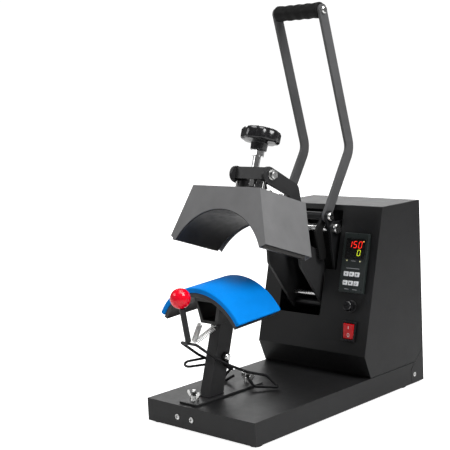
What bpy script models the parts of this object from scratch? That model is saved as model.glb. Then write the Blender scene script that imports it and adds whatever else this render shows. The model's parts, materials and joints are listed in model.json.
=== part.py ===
"""Clamshell cap heat press: folded base, slanted control tower, swinging arms with a curved
heated platen, curved padded lower platen on a leaning post, U handle with a toggle linkage,
and a wire cap clamp with a ball-ended lever.

Lengths are millimetres until a mesh is written, when they become metres.
x runs across the press, y runs from the front edge of the base to the back and z is up.
Dimensions count from the middle of the base's front edge, on the table. The whole press is
then shifted so that the frame's origin is under the middle of its bounding box.
"""

from math import atan2, cos, degrees, hypot, pi, radians, sin, tan

import bmesh
import bpy
from mathutils import Matrix, Vector

MM = 0.001

# ---------------------------------------------------------------- driving dimensions
FRAME_SHIFT = (9.8, -213.6, 0.0)

BASE_HALF_WIDTH = 111.5
BASE_LENGTH = 424.0
BASE_BOTTOM = 3.0
BASE_TOP = 38.2
SHEET = 1.5
GAP = 0.4

PRESS_X = -31.0  # the press works left of the middle, to leave room for the controls

TOWER_CREASE = (260.9, 75.9)
TOWER_FOOT_FRONT = (275.9, BASE_TOP + GAP)
TOWER_TOP_FRONT = (320.9, 307.2)
TOWER_TOP = 307.2
TOWER_BACK = 422.2
CORNER_Y = 387.5
CORNER_LOW_Z = 27.3
CORNER_HIGH_Z = 59.0

SLOT_LOW = 55.2
SLOT_STEP = 132.0
SLOT_TOP = 230.0
SLOT_HALF_NARROW = 43.5
SLOT_HALF_WIDE = 66.0

ARM_PIVOT = (308.5, 141.0)
TRUNNION = (179.5, 369.4)
HANDLE_PIVOT = (302.8, 270.2)
CRANK_PIN = (297.5, 290.5)
TOGGLE_PIN = (289.0, 228.48)
HANDLE_BEND = (366.0, 396.0)
HANDLE_END = (305.7, 621.4)

# distances from the press's middle plane, inner face then outer face
ARM_LAYER = (31.0, 36.6)
LINK_LAYER = (40.4, 44.4)
BAR_LAYER = (44.8, 49.8)
CRANK_LAYER = (50.2, 54.2)
FRAME_LAYER = (55.0, 60.0)

HEAD_TILT = 18.62  # the open head looks down and forward
HEAD_FRONT = -58.9
HEAD_BACK = 51.9
HEAD_TOP = -32.8
HEAD_SIDE_LOW = -116.0
HEAD_HALF_TOP = 70.5
HEAD_HALF_LOW = 100.1
ARCH_CENTRE = -167.5
ARCH_SHEET_RADIUS = 99.5
HEATER_INNER_RADIUS = 98.0
HEATER_OUTER_RADIUS = 106.5
GUIDE_X = 22.5
BOLT_TIP = 27.0

LOWER_AXIS = (90.3, 117.0)
LOWER_TILT = 3.14
PAD_OUTER_RADIUS = 97.0
PAD_INNER_RADIUS = 89.0
CAST_OUTER_RADIUS = 88.6
CAST_INNER_RADIUS = 82.0

POST_FOOT_Y = 59.5
POST_LOW = 41.8
POST_HIGH = 151.4
POST_LEAN = 17.1
CLAMP_PIVOT = (82.0, 97.8)
CLAMP_SIDE = 16.5
BALL_CENTRE = (4.8, 201.5)
BALL_RADIUS = 15.6

CONTROLLER = (72.6, 146.0)
FUSE = (75.0, 77.1)
SWITCH = (76.0, 37.0)
KEY_COLUMNS = (-10.7, 0.0, 10.7)
KEY_ROWS = (-18.3, -32.6)

SLOPE_LENGTH = hypot(TOWER_TOP_FRONT[0] - TOWER_CREASE[0], TOWER_TOP_FRONT[1] - TOWER_CREASE[1])
SLOPE = Vector((0.0, TOWER_TOP_FRONT[0] - TOWER_CREASE[0], TOWER_TOP_FRONT[1] - TOWER_CREASE[1]))
SLOPE.normalize()
OUTWARD = Vector((1.0, 0.0, 0.0)).cross(SLOPE)


# ---------------------------------------------------------------- scene and materials
def clear_scene():
    for item in list(bpy.data.objects):
        bpy.data.objects.remove(item, do_unlink=True)


def principled(name, colour, roughness, metallic=0.0):
    material = bpy.data.materials.new(name)
    material.use_nodes = True
    shader = material.node_tree.nodes["Principled BSDF"]
    shader.inputs["Base Color"].default_value = (*colour, 1.0)
    shader.inputs["Roughness"].default_value = roughness
    shader.inputs["Metallic"].default_value = metallic
    return material


def make_materials():
    return {
        "powder": principled("black_powder_coat", (0.020, 0.021, 0.023), 0.55),
        "grey": principled("grey_powder_coat", (0.105, 0.107, 0.112), 0.5),
        "black": principled("black_steel", (0.012, 0.012, 0.013), 0.5),
        "cast": principled("black_casting", (0.010, 0.010, 0.011), 0.42),
        "zinc": principled("zinc_plated_steel", (0.78, 0.78, 0.77), 0.22, 1.0),
        "pad": principled("blue_silicone", (0.0, 0.23, 0.84), 0.6),
        "red": principled("red_ball", (0.80, 0.004, 0.03), 0.12),
        "switch": principled("red_rocker", (0.75, 0.01, 0.01), 0.25),
        "plastic": principled("black_plastic", (0.012, 0.012, 0.013), 0.35),
        "rubber": principled("black_rubber", (0.015, 0.015, 0.015), 0.8),
        "key": principled("white_key", (0.85, 0.86, 0.86), 0.45),
        "board": principled("insulation_board", (0.55, 0.52, 0.45), 0.9),
    }


# ---------------------------------------------------------------- bodies
class Body:
    """An empty on a joint's axis, which carries the pieces that move together."""

    def __init__(self, name, origin=(0.0, 0.0, 0.0), tilt=0.0):
        self.empty = bpy.data.objects.new(name, None)
        self.empty.empty_display_size = 0.02
        self.empty.location = (Vector(origin) + Vector(FRAME_SHIFT)) * MM
        self.empty.rotation_euler = (radians(tilt), 0.0, 0.0)
        bpy.context.scene.collection.objects.link(self.empty)
        place = Matrix.Translation(Vector(origin))
        turn = Matrix.Rotation(radians(tilt), 4, "X")
        self.inverse = (place @ turn).inverted()


def add_piece(name, mesh, material, body, local=False, smooth=False):
    """Turns a millimetre bmesh into a named object under its body's empty."""
    if not local:
        mesh.transform(body.inverse)
    mesh.transform(Matrix.Scale(MM, 4))
    bmesh.ops.recalc_face_normals(mesh, faces=mesh.faces)
    data = bpy.data.meshes.new(name)
    mesh.to_mesh(data)
    mesh.free()
    item = bpy.data.objects.new(name, data)
    item.data.materials.append(material)
    item.parent = body.empty
    bpy.context.scene.collection.objects.link(item)
    if smooth:
        item.data.shade_smooth()
        item.data.set_sharp_from_angle(angle=radians(35.0))
    return item


def thicken(item, thickness):
    """Gives an open sheet-metal surface its thickness, inwards."""
    solid = item.modifiers.new("sheet", "SOLIDIFY")
    solid.thickness = thickness * MM
    solid.offset = -1.0
    solid.use_even_offset = True
    solid.use_quality_normals = True


def cut(item, cutters, operation="DIFFERENCE"):
    for cutter in cutters:
        cutter.hide_render = True
        cutter.display_type = "WIRE"
        boolean = item.modifiers.new("bore", "BOOLEAN")
        boolean.operation = operation
        boolean.solver = "EXACT"
        boolean.object = cutter


# ---------------------------------------------------------------- outlines
def arc(centre, radius, start, end, steps):
    """Points on an arc, angles in degrees from the first axis towards the second."""
    points = []
    for step in range(steps + 1):
        angle = radians(start + (end - start) * step / steps)
        points.append((centre[0] + radius * cos(angle), centre[1] + radius * sin(angle)))
    return points


def circle(centre, radius, steps=16):
    return arc(centre, radius, 0.0, 360.0, steps)[:-1]


def rectangle(centre, width, height):
    half_w = width / 2
    half_h = height / 2
    u, v = centre
    return [(u - half_w, v - half_h), (u + half_w, v - half_h), (u + half_w, v + half_h), (u - half_w, v + half_h)]


def rounded(corners, steps=5):
    """Replaces each (u, v, radius) corner of a polygon by an arc."""
    points = []
    count = len(corners)
    for index, (u, v, radius) in enumerate(corners):
        here = Vector((u, v))
        if radius == 0:
            points.append((u, v))
            continue
        before = (Vector(corners[index - 1][:2]) - here).normalized()
        after = (Vector(corners[(index + 1) % count][:2]) - here).normalized()
        half = before.angle(after) / 2
        centre = here + (before + after).normalized() * (radius / sin(half))
        start = here + before * (radius / tan(half)) - centre
        end = here + after * (radius / tan(half)) - centre
        first = atan2(start.y, start.x)
        sweep = (atan2(end.y, end.x) - first + pi) % (2 * pi) - pi
        for step in range(steps + 1):
            angle = first + sweep * step / steps
            points.append((centre.x + radius * cos(angle), centre.y + radius * sin(angle)))
    return points


def capsule(first, second, first_radius, second_radius, steps=8):
    """Outline round two circles joined by straight sides."""
    lead = degrees(atan2(second[1] - first[1], second[0] - first[0]))
    near = arc(first, first_radius, lead + 90.0, lead + 270.0, steps)
    far = arc(second, second_radius, lead - 90.0, lead + 90.0, steps)
    return near + far


def arch_band(inner, outer, half_angle, steps, centre=(0.0, 0.0)):
    top = arc(centre, outer, 90.0 - half_angle, 90.0 + half_angle, steps)
    under = arc(centre, inner, 90.0 + half_angle, 90.0 - half_angle, steps)
    return top + under


# ---------------------------------------------------------------- solids
AXIS_MAP = {
    "X": lambda u, v, w: (w, u, v),
    "Y": lambda u, v, w: (u, w, v),
    "Z": lambda u, v, w: (u, v, w),
}


def fill_loops(mesh, loops, place):
    """Fills an outline with holes, each vertex placed by the given function."""
    edges = []
    for loop in loops:
        verts = [mesh.verts.new(place(u, v)) for u, v in loop]
        for index, vert in enumerate(verts):
            edges.append(mesh.edges.new((vert, verts[(index + 1) % len(verts)])))
    result = bmesh.ops.triangle_fill(mesh, use_beauty=True, edges=edges)
    return [item for item in result["geom"] if isinstance(item, bmesh.types.BMFace)]


def slab(axis, outline, low, high, holes=()):
    """A flat plate with holes, extruded along one axis."""
    mesh = bmesh.new()
    put = AXIS_MAP[axis]
    faces = fill_loops(mesh, [outline, *holes], lambda u, v: put(u, v, low))
    grown = bmesh.ops.extrude_face_region(mesh, geom=faces, use_keep_orig=True)
    moved = [item for item in grown["geom"] if isinstance(item, bmesh.types.BMVert)]
    bmesh.ops.translate(mesh, verts=moved, vec=Vector(put(0.0, 0.0, high - low)))
    return mesh


def loft(rings):
    """Skins equal rings of points and closes both ends."""
    mesh = bmesh.new()
    rows = [[mesh.verts.new(point) for point in ring] for ring in rings]
    count = len(rows[0])
    for row, following in zip(rows, rows[1:]):
        for index in range(count):
            after = (index + 1) % count
            mesh.faces.new((row[index], row[after], following[after], following[index]))
    mesh.faces.new(rows[0][::-1])
    mesh.faces.new(rows[-1])
    return mesh


def turned(profile, origin, direction, steps=20, shape=None):
    """A turned solid: profile holds (radius, distance along the axis) pairs."""
    axis = Vector(direction).normalized()
    side = axis.orthogonal().normalized()
    if abs(axis.x) < 0.9:
        side = (Vector((1.0, 0.0, 0.0)) - axis * axis.x).normalized()
    other = axis.cross(side)
    rings = []
    for entry in profile:
        radius, along = entry[:2]
        form = entry[2] if len(entry) > 2 else None
        ring = []
        for step in range(steps):
            angle = 2 * pi * step / steps
            reach = radius * (form(angle) if form else 1.0)
            ring.append(Vector(origin) + axis * along + (side * cos(angle) + other * sin(angle)) * reach)
        rings.append(ring)
    return loft(rings)


def hexagon(angle):
    """Distance to a hexagon's edge, for a corner distance of 1."""
    part = angle % (pi / 3) - pi / 6
    return cos(pi / 6) / cos(part)


def lobes(angle):
    """The knob's eight finger grips."""
    return 1.0 - 0.085 * (0.5 - 0.5 * cos(8 * angle)) ** 2


def mirror_layers(layer):
    """A layer on the left of the press plane and its twin on the right."""
    inner, outer = layer
    return (
        ("left", PRESS_X - outer, PRESS_X - inner),
        ("right", PRESS_X + inner, PRESS_X + outer),
    )


# ---------------------------------------------------------------- base and tower
def join_panels(mesh):
    bmesh.ops.remove_doubles(mesh, verts=mesh.verts, dist=0.01)
    return mesh


def make_base(body, look):
    side = BASE_HALF_WIDTH
    top_end = CORNER_Y + (BASE_TOP - CORNER_LOW_Z) * 1.12
    mesh = bmesh.new()
    top = [(-side, 0.0), (side, 0.0), (side, top_end), (-side, top_end)]
    fill_loops(mesh, [top], lambda x, y: (x, y, BASE_TOP))
    front = [(-side, BASE_BOTTOM), (side, BASE_BOTTOM), (side, BASE_TOP), (-side, BASE_TOP)]
    fill_loops(mesh, [front], lambda x, z: (x, 0.0, z))
    flank = [
        (0.0, BASE_BOTTOM),
        (CORNER_Y, BASE_BOTTOM),
        (CORNER_Y, CORNER_LOW_Z),
        (top_end, BASE_TOP),
        (0.0, BASE_TOP),
    ]
    for x in (-side, side):
        fill_loops(mesh, [flank], lambda y, z, x=x: (x, y, z))
    rim = [(-side, 0.0), (side, 0.0), (side, CORNER_Y), (-side, CORNER_Y)]
    lip = 22.0
    opening = [
        (-side + lip, lip),
        (side - lip, lip),
        (side - lip, CORNER_Y - lip),
        (-side + lip, CORNER_Y - lip),
    ]
    foot_holes = [circle((x, y), 3.6, 12) for x, y in foot_places()]
    fill_loops(mesh, [rim, opening, *foot_holes], lambda x, y: (x, y, BASE_BOTTOM))
    tray = add_piece("base_tray", join_panels(mesh), look["powder"], body)
    thicken(tray, SHEET)
    studs = []
    for end, y in zip(("front", "rear"), stud_places()):
        profile = [(2.9, BASE_TOP - 0.8), (2.9, 57.0), (2.2, 58.0)]
        mesh = turned(profile, (PRESS_X, y, 0.0), (0, 0, 1), 14)
        studs.append(add_piece(f"weld_stud_{end}", mesh, look["zinc"], body))
    cut(tray, studs, "UNION")


def foot_places():
    return [(x, y) for x in (-99.0, 99.0) for y in (14.0, 372.0)]


def make_feet(body, look):
    names = ("foot_front_left", "foot_rear_left", "foot_front_right", "foot_rear_right")
    profile = [(9.0, 0.0), (10.0, 1.0), (9.6, 2.7), (3.2, 2.7), (3.2, 5.2), (5.5, 5.2), (4.2, 8.0)]
    for name, (x, y) in zip(names, foot_places()):
        mesh = turned(profile, (x, y, 0.0), (0.0, 0.0, 1.0), 16)
        add_piece(name, mesh, look["rubber"], body, smooth=True)


def slope_point(x, along, out=0.0):
    """A place on the tower's slanted front: across, up the slope, and out of it."""
    start = Vector((x, TOWER_CREASE[0], TOWER_CREASE[1]))
    return start + SLOPE * along + OUTWARD * out


def slot_outline():
    narrow = (PRESS_X - SLOT_HALF_NARROW, PRESS_X + SLOT_HALF_NARROW)
    wide = (PRESS_X - SLOT_HALF_WIDE, PRESS_X + SLOT_HALF_WIDE)
    corners = [
        (narrow[0], SLOT_LOW, 3.0),
        (narrow[1], SLOT_LOW, 3.0),
        (narrow[1], SLOT_STEP, 3.0),
        (wide[1], SLOT_STEP, 3.0),
        (wide[1], SLOT_TOP, 3.0),
        (wide[0], SLOT_TOP, 3.0),
        (wide[0], SLOT_STEP, 3.0),
        (narrow[0], SLOT_STEP, 3.0),
    ]
    return rounded(corners, 2)


def make_tower(body, look):
    side = BASE_HALF_WIDTH
    mesh = bmesh.new()
    slope = rectangle((0.0, SLOPE_LENGTH / 2), side * 2, SLOPE_LENGTH)
    holes = [
        slot_outline(),
        rectangle(CONTROLLER, 45.4, 92.4),
        circle(FUSE, 7.5, 16),
        rectangle(SWITCH, 24.4, 29.4),
    ]
    fill_loops(mesh, [slope, *holes], slope_point)
    foot_y, foot_z = TOWER_FOOT_FRONT
    crease_y, crease_z = TOWER_CREASE
    front = [(-side, 0.0), (side, 0.0), (side, 1.0), (-side, 1.0)]
    fill_loops(mesh, [front], lambda x, t: (x, foot_y + (crease_y - foot_y) * t, foot_z + (crease_z - foot_z) * t))
    top = [
        (-side, TOWER_TOP_FRONT[0]),
        (side, TOWER_TOP_FRONT[0]),
        (side, TOWER_BACK),
        (-side, TOWER_BACK),
    ]
    fill_loops(mesh, [top], lambda x, y: (x, y, TOWER_TOP))
    corner_low_y = CORNER_Y + (BASE_TOP + GAP - CORNER_LOW_Z) * 1.12 + 0.6
    corner_high_z = CORNER_HIGH_Z + GAP
    flank = [
        TOWER_FOOT_FRONT,
        (corner_low_y, foot_z),
        (TOWER_BACK, corner_high_z),
        (TOWER_BACK, TOWER_TOP),
        TOWER_TOP_FRONT,
        TOWER_CREASE,
    ]
    for x in (-side, side):
        fill_loops(mesh, [flank], lambda y, z, x=x: (x, y, z))
    thicken(add_piece("tower_cover", join_panels(mesh), look["powder"], body), SHEET)


def make_rear_panel(body, look):
    side = BASE_HALF_WIDTH
    back = BASE_LENGTH
    mesh = bmesh.new()
    plate = [(-side, BASE_BOTTOM), (side, BASE_BOTTOM), (side, CORNER_HIGH_Z), (side, TOWER_TOP)]
    plate += [(-side, TOWER_TOP), (-side, CORNER_HIGH_Z)]
    vents = [rectangle((0.0, 210.0 + 11.0 * row), 90.0, 4.0) for row in range(6)]
    holes = [*vents, circle((62.0, 76.0), 8.4, 16)]
    fill_loops(mesh, [plate, *holes], lambda x, z: (x, back, z))
    ear = [
        (back, BASE_BOTTOM),
        (back, CORNER_HIGH_Z),
        (CORNER_Y + 0.6, CORNER_LOW_Z - 1.6),
        (CORNER_Y + 0.6, BASE_BOTTOM),
    ]
    for x in (-side, side):
        fill_loops(mesh, [ear], lambda y, z, x=x: (x, y, z))
    thicken(add_piece("rear_panel", join_panels(mesh), look["powder"], body), 1.4)
    gland = [(6.0, 14.0), (9.0, 12.5), (10.5, 4.0), (12.5, 3.6), (12.5, 0.4), (8.0, 0.4), (8.0, -9.0)]
    gland += [(5.0, -9.0), (5.0, 10.0), (3.9, 11.0)]
    mesh = turned(gland, (62.0, back, 76.0), (0.0, 1.0, 0.0), 20)
    add_piece("power_gland", mesh, look["plastic"], body, smooth=True)


def make_frame_plates(body, look):
    nose = arc(HANDLE_PIVOT, 12.0, 205.0, 80.0, 8)
    outline = [(286.0, BASE_TOP + GAP), (285.5, 152.0), (299.5, 206.0), (294.0, 235.0)]
    outline += [*nose, (312.0, 281.5), (392.0, 281.5), (392.0, BASE_TOP + GAP)]
    holes = [circle(HANDLE_PIVOT, 4.8, 16), circle(ARM_PIVOT, 6.3, 16)]
    for side, low, high in mirror_layers(FRAME_LAYER):
        mesh = slab("X", outline, low, high, holes)
        add_piece(f"frame_plate_{side}", mesh, look["black"], body)
    profile = [(8.5, -66.0, hexagon), (8.5, -60.4, hexagon), (6.0, -60.4), (6.0, 60.4)]
    profile += [(8.5, 60.4, hexagon), (8.5, 66.0, hexagon)]
    mesh = turned(profile, (PRESS_X, *ARM_PIVOT), (1.0, 0.0, 0.0), 24)
    add_piece("arm_pivot_shaft", mesh, look["black"], body, smooth=True)
    profile = [(7.6, -67.0), (8.4, -65.6), (8.4, -60.3), (4.5, -60.3), (4.5, -49.8), (6.6, -49.8)]
    profile += [(6.6, 49.8), (4.5, 49.8), (4.5, 60.3), (8.4, 60.3), (8.4, 65.6), (7.6, 67.0)]
    mesh = turned(profile, (PRESS_X, *HANDLE_PIVOT), (1.0, 0.0, 0.0), 20)
    add_piece("handle_pivot_shaft", mesh, look["zinc"], body, smooth=True)


# ---------------------------------------------------------------- controls
def slope_slab(outline, low, high, holes=()):
    """A plate lying on the slanted front, from one height above it to another."""
    mesh = slab("Z", outline, low, high, holes)
    for vert in mesh.verts:
        x, along, out = vert.co
        vert.co = slope_point(x, along, out)
    return mesh


def slope_loft(rings):
    """Skins rectangles given as (centre, width, height, distance out of the slope)."""
    placed = []
    for centre, width, height, out in rings:
        placed.append([slope_point(x, along, out) for x, along in rectangle(centre, width, height)])
    return loft(placed)


def make_controls(body, look):
    case = [
        (CONTROLLER, 44.6, 91.6, -55.0),
        (CONTROLLER, 44.6, 91.6, GAP),
        (CONTROLLER, 48.0, 96.0, GAP),
        (CONTROLLER, 48.0, 96.0, 5.2),
        (CONTROLLER, 46.6, 94.6, 6.0),
    ]
    add_piece("controller_case", slope_loft(case), look["plastic"], body)
    bezel = [
        (SWITCH, 23.6, 28.6, -20.0),
        (SWITCH, 23.6, 28.6, GAP),
        (SWITCH, 26.6, 32.0, GAP),
        (SWITCH, 26.0, 31.4, 3.2),
        (SWITCH, 21.2, 26.2, 3.2),
        (SWITCH, 21.2, 26.2, -9.0),
    ]
    add_piece("switch_bezel", slope_loft(bezel), look["plastic"], body)
    profile = [(7.0, -24.0), (7.0, GAP), (9.6, GAP), (9.6, 2.4), (6.0, 3.0)]
    origin = slope_point(*FUSE)
    mesh = turned(profile, origin, OUTWARD, 20)
    add_piece("fuse_holder", mesh, look["plastic"], body, smooth=True)


def make_moving_controls(look):
    cap = Body("fuse_cap_axis", slope_point(*FUSE))
    profile = [(7.6, 3.4), (8.2, 4.4), (7.8, 13.4), (6.6, 14.6)]
    mesh = turned(profile, slope_point(*FUSE), OUTWARD, 20)
    add_piece("fuse_cap", mesh, look["plastic"], cap, smooth=True)

    rocker_axis = slope_point(SWITCH[0], SWITCH[1], -1.0)
    rocker = Body("switch_axis", rocker_axis)
    outline = [(-12.2, -2.5), (12.2, -2.5), (12.4, 1.0), (11.4, 5.0), (0.0, 3.2), (-12.2, 1.2)]
    outline = [(SWITCH[1] + along, out) for along, out in outline]
    mesh = slab("X", outline, SWITCH[0] - 10.2, SWITCH[0] + 10.2)
    for vert in mesh.verts:
        x, along, out = vert.co
        vert.co = slope_point(x, along, out)
    add_piece("switch_rocker", mesh, look["switch"], rocker)

    number = 0
    for row in KEY_ROWS:
        for column in KEY_COLUMNS:
            number += 1
            centre = (CONTROLLER[0] + column, CONTROLLER[1] + row)
            key = Body(f"key_{number}_axis", slope_point(*centre, 7.0))
            outline = rounded([(u, v, 0.8) for u, v in rectangle(centre, 8.6, 7.4)], 2)
            mesh = slope_slab(outline, 7.0, 8.6)
            add_piece(f"key_{number}", mesh, look["key"], key)


# ---------------------------------------------------------------- arms, toggle and handle
def arm_outline():
    """Boomerang arm: trunnion end, bend, toggle ear, pivot end and front edge."""
    top_end = arc((TRUNNION[0] - 5.5, TRUNNION[1] - 0.1), 13.2, 243.0, 62.0, 9)
    bend = rounded([(200.0, 370.2, 0), (243.5, 346.6, 15.0), (248.6, 318.0, 25.0), (250.5, 296.0, 20.0),
                    (262.0, 246.0, 12.0), (285.0, 240.0, 0)], 4)[1:-1]
    ear = arc(TOGGLE_PIN, 9.5, 110.0, 0.0, 5)
    pivot = arc(ARM_PIVOT, 11.0, 0.0, -144.5, 8)
    inner = rounded([(299.5, 134.6, 0), (241.7, 215.8, 10.0), (241.0, 240.0, 30.0), (222.8, 300.0, 30.0),
                     (222.8, 320.0, 0)], 4)[1:-1]
    inner += [(222.8, 322.0), (219.0, 332.2)]
    return top_end + bend + ear + pivot + inner


def make_arms(body, look):
    holes = [circle(TRUNNION, 5.3, 16), circle(TOGGLE_PIN, 4.8, 16), circle(ARM_PIVOT, 6.4, 16)]
    for side, low, high in mirror_layers(ARM_LAYER):
        mesh = slab("X", arm_outline(), low, high, holes)
        add_piece(f"arm_{side}", mesh, look["powder"], body)
    reach = ARM_LAYER[1] - 0.1
    inner = ARM_LAYER[0] - 0.4
    profile = [(4.5, -reach), (4.5, -inner), (7.0, -inner), (7.0, inner), (4.5, inner), (4.5, reach)]
    mesh = turned(profile, (PRESS_X, *TOGGLE_PIN), (1.0, 0.0, 0.0), 20)
    add_piece("toggle_shaft", mesh, look["zinc"], body, smooth=True)


def make_links(body, look):
    knee = (281.0, 268.0)
    outline = arc(CRANK_PIN, 8.0, 10.0, 190.0, 8)
    outline += [(knee[0] - 8.5, knee[1] + 1.0), (knee[0] - 5.5, knee[1] - 12.0)]
    outline += arc(TOGGLE_PIN, 9.5, 170.0, 370.0, 8)
    outline += [(knee[0] + 10.5, knee[1] - 10.0), (knee[0] + 9.5, knee[1] - 1.0)]
    hole = circle(CRANK_PIN, 4.3, 16)
    for side, low, high in mirror_layers(LINK_LAYER):
        mesh = slab("X", outline, low, high, [hole])
        add_piece(f"toggle_link_{side}", mesh, look["black"], body)


def handle_outline():
    half = 9.6
    lower = Vector(HANDLE_BEND) - Vector(CRANK_PIN)
    upper = Vector(HANDLE_END) - Vector(HANDLE_BEND)
    lower_lead = degrees(atan2(lower.y, lower.x))
    upper_lead = degrees(atan2(upper.y, upper.x))
    foot = arc(CRANK_PIN, half, lower_lead + 90.0, lower_lead + 270.0, 9)
    tip = arc(HANDLE_END, half, upper_lead - 90.0, upper_lead + 90.0, 9)
    turn = radians(upper_lead - lower_lead) / 2
    normal = radians((upper_lead + lower_lead) / 2 - 90.0)
    reach = half / cos(turn)
    outer = (HANDLE_BEND[0] + reach * cos(normal), HANDLE_BEND[1] + reach * sin(normal))
    inner = (HANDLE_BEND[0] - reach * cos(normal), HANDLE_BEND[1] - reach * sin(normal))
    outer_side = rounded([(*foot[-1], 0), (*outer, 40.0), (*tip[0], 0)], 8)[1:-1]
    inner_side = rounded([(*tip[-1], 0), (*inner, 20.0), (*foot[0], 0)], 8)[1:-1]
    return foot + outer_side + tip + inner_side


def make_handle(body, look):
    holes = [circle(CRANK_PIN, 4.3, 16), circle(HANDLE_END, 4.3, 16)]
    for side, low, high in mirror_layers(BAR_LAYER):
        mesh = slab("X", handle_outline(), low, high, holes)
        add_piece(f"handle_bar_{side}", mesh, look["grey"], body)
    plate = capsule(CRANK_PIN, HANDLE_PIVOT, 9.6, 10.5)
    holes = [circle(CRANK_PIN, 4.3, 16), circle(HANDLE_PIVOT, 4.8, 16)]
    for side, low, high in mirror_layers(CRANK_LAYER):
        mesh = slab("X", plate, low, high, holes)
        add_piece(f"crank_plate_{side}", mesh, look["black"], body)

    pin = [(5.5, -58.6), (7.4, -57.2), (7.4, -54.6), (4.0, -54.6), (4.0, 54.6), (7.4, 54.6)]
    pin += [(7.4, 57.2), (5.5, 58.6)]
    mesh = turned(pin, (PRESS_X, *CRANK_PIN), (1.0, 0.0, 0.0), 20)
    add_piece("crank_shaft", mesh, look["zinc"], body, smooth=True)
    sleeve = ring_tube(CRANK_PIN, 4.4, 6.6, -40.0, 40.0)
    add_piece("crank_sleeve", sleeve, look["black"], body, smooth=True)

    reach = BAR_LAYER[1]
    bolt = [(4.6, -reach - 4.2), (6.4, -reach - 2.6), (6.4, -reach - 0.4), (4.0, -reach - 0.4)]
    bolt += [(4.0, reach + 0.4), (6.4, reach + 0.4), (6.4, reach + 2.6), (4.6, reach + 4.2)]
    mesh = turned(bolt, (PRESS_X, *HANDLE_END), (1.0, 0.0, 0.0), 16)
    add_piece("grip_bolt", mesh, look["zinc"], body, smooth=True)
    grip = ring_tube(HANDLE_END, 4.4, 13.0, 0.4 - BAR_LAYER[0], BAR_LAYER[0] - 0.4, 28)
    add_piece("handle_grip", grip, look["rubber"], body, smooth=True)


def ring_tube(centre, inner, outer, low, high, steps=20):
    """A tube along x, placed from the press's middle plane."""
    return slab("X", circle(centre, outer, steps), PRESS_X + low, PRESS_X + high, [circle(centre, inner, steps)])


# ---------------------------------------------------------------- heated head, in its own tilted frame
def make_trunnion_block(body, look):
    half = 9.5
    mesh = slab("Y", rectangle((0.0, 0.0), 2 * ARM_LAYER[0] - 2 * GAP, 2 * half), -half, half)
    block = add_piece("trunnion_block", mesh, look["powder"], body, local=True)
    cutters = []
    for name, profile, origin, lead in (
        ("screw_bore", [(6.5, -15.0), (6.5, 15.0)], (0.0, 0.0, 0.0), (0, 0, 1)),
        ("left_bore", [(5.3, -40.0), (5.3, -BOLT_TIP + 0.5)], (0.0, 0.0, 0.0), (1, 0, 0)),
        ("right_bore", [(5.3, BOLT_TIP - 0.5), (5.3, 40.0)], (0.0, 0.0, 0.0), (1, 0, 0)),
        ("left_guide_bore", [(3.4, -15.0), (3.4, 6.0)], (-GUIDE_X, 0.0, 0.0), (0, 0, 1)),
        ("right_guide_bore", [(3.4, -15.0), (3.4, 6.0)], (GUIDE_X, 0.0, 0.0), (0, 0, 1)),
    ):
        mesh = turned(profile, origin, lead, 16)
        cutters.append(add_piece(name, mesh, look["powder"], body, local=True))
    cut(block, cutters)
    arm_face = ARM_LAYER[1]
    for side, lead in (("left", -1.0), ("right", 1.0)):
        profile = [(5.0, BOLT_TIP), (5.0, arm_face + 0.3), (8.6, arm_face + 0.3), (8.6, arm_face + 1.7)]
        profile += [(7.6, arm_face + 1.8, hexagon), (7.6, arm_face + 6.4, hexagon), (5.2, arm_face + 6.5)]
        profile += [(5.2, arm_face + 7.5)]
        mesh = turned(profile, (0.0, 0.0, 0.0), (lead, 0.0, 0.0), 24)
        add_piece(f"trunnion_bolt_{side}", mesh, look["zinc"], body, local=True, smooth=True)


def head_face():
    """The head's front outline: flat top, sloping sides, chamfered feet and the arch."""
    half_angle = 63.0
    arch = arc((0.0, ARCH_CENTRE), ARCH_SHEET_RADIUS, 90.0 - half_angle, 90.0 + half_angle, 28)
    outline = [(-HEAD_HALF_LOW, HEAD_SIDE_LOW), (-HEAD_HALF_TOP, HEAD_TOP)]
    outline += [(HEAD_HALF_TOP, HEAD_TOP), (HEAD_HALF_LOW, HEAD_SIDE_LOW)]
    return outline + arch


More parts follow.
